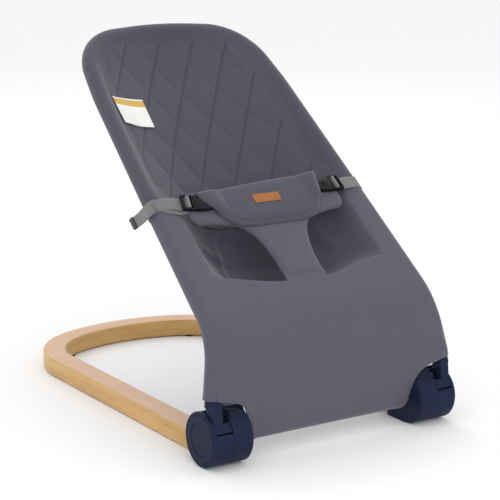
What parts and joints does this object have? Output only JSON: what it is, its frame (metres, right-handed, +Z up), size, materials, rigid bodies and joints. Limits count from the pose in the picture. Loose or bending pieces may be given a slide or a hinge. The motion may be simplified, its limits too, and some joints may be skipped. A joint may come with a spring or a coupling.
{
  "type": "bouncer seat",
  "caption": "Low reclining baby bouncer: a padded fabric sling on a tube frame, hinged at floor level to a bentwood U rail.",
  "frame": {"origin": "on the floor, under the middle of the overall box", "axes": "+Z up, the seat faces -Y, +X to the seat's left-hand side as its occupant sits"},
  "size_m": [0.3902, 0.6329, 0.5213],
  "materials": {
    "wood": "clear satin lacquer over vertical laminations",
    "hinge_plastic": "fine-textured moulding",
    "trigger_plastic": "ribbed moulding",
    "ring_plastic": "acetal",
    "steel": "zinc plated",
    "tube_steel": "powder coat",
    "rubber": "matte",
    "fabric": "plain knit",
    "quilted_fabric": "quilted knit",
    "inner_fabric": "plain knit, shaded",
    "webbing": "woven polyester",
    "buckle_plastic": "acetal",
    "leather": "embossed",
    "label": "printed satin",
    "brass": "plain"
  },
  "bodies": {
    "base": {"base_rail": "wood", "rear_feet": "rubber", "hinge_soles": "rubber", "hinge_case_inner_left": "hinge_plastic", "hinge_case_inner_right": "hinge_plastic", "hinge_case_outer_left": "hinge_plastic", "hinge_case_outer_right": "hinge_plastic", "hinge_cap_left": "hinge_plastic", "hinge_cap_right": "hinge_plastic", "axle_bolts": "steel", "threaded_inserts": "brass", "case_screws": "steel", "rail_screws": "steel", "cross_tube": "tube_steel", "latch_spring_left": "steel", "latch_spring_right": "steel"},
    "latch_rings": {"latch_ring_left": "ring_plastic", "latch_ring_right": "ring_plastic"},
    "seat": {"seat_arm_left": "hinge_plastic", "seat_arm_right": "hinge_plastic", "seat_tube": "tube_steel", "edge_sleeve": "fabric", "back_panel": "quilted_fabric", "seat_sling": "inner_fabric", "front_skirt": "fabric", "side_strip_left": "fabric", "side_strip_right": "fabric", "crotch_stem": "fabric", "waist_band": "fabric", "restraint_flap": "fabric", "leather_tag": "leather", "care_label": "label", "buckle_socket_left": "buckle_plastic", "buckle_socket_right": "buckle_plastic", "strap_left": "webbing", "strap_right": "webbing", "strap_tail": "webbing"},
    "trigger_left": {"release_trigger_left": "trigger_plastic"},
    "trigger_right": {"release_trigger_right": "trigger_plastic"},
    "plug_left": {"buckle_plug_left": "buckle_plastic"},
    "plug_right": {"buckle_plug_right": "buckle_plastic"}
  },
  "joints": [
    {"name": "recline", "type": "hinge", "parent": "base", "child": "latch_rings", "pos_m": [0, -0.28, 0.037], "axis": [-1, 0, 0], "range_deg": [0, 38]},
    {"name": "bounce", "type": "hinge", "parent": "latch_rings", "child": "seat", "pos_m": [0, -0.28, 0.037], "axis": [-1, 0, 0], "range_deg": [-3, 5], "stiffness_Nm_per_rad": 300, "springref_deg": -1.15},
    {"name": "trigger_left_press", "type": "slide", "parent": "base", "child": "trigger_left", "axis": [0, 0, -1], "range_m": [0, 0.004], "stiffness_N_per_m": 1200, "springref_m": -0.002, "deforming": ["latch_spring_left"]},
    {"name": "trigger_right_press", "type": "slide", "parent": "base", "child": "trigger_right", "axis": [0, 0, -1], "range_m": [0, 0.004], "stiffness_N_per_m": 1200, "springref_m": -0.002, "deforming": ["latch_spring_right"]},
    {"name": "plug_left_release", "type": "slide", "parent": "seat", "child": "plug_left", "axis": [-1, 0, 0], "range_m": [0, 0.02], "deforming": ["strap_left"]},
    {"name": "plug_right_release", "type": "slide", "parent": "seat", "child": "plug_right", "axis": [1, 0, 0], "range_m": [0, 0.02], "deforming": ["strap_right"]}
  ]
}
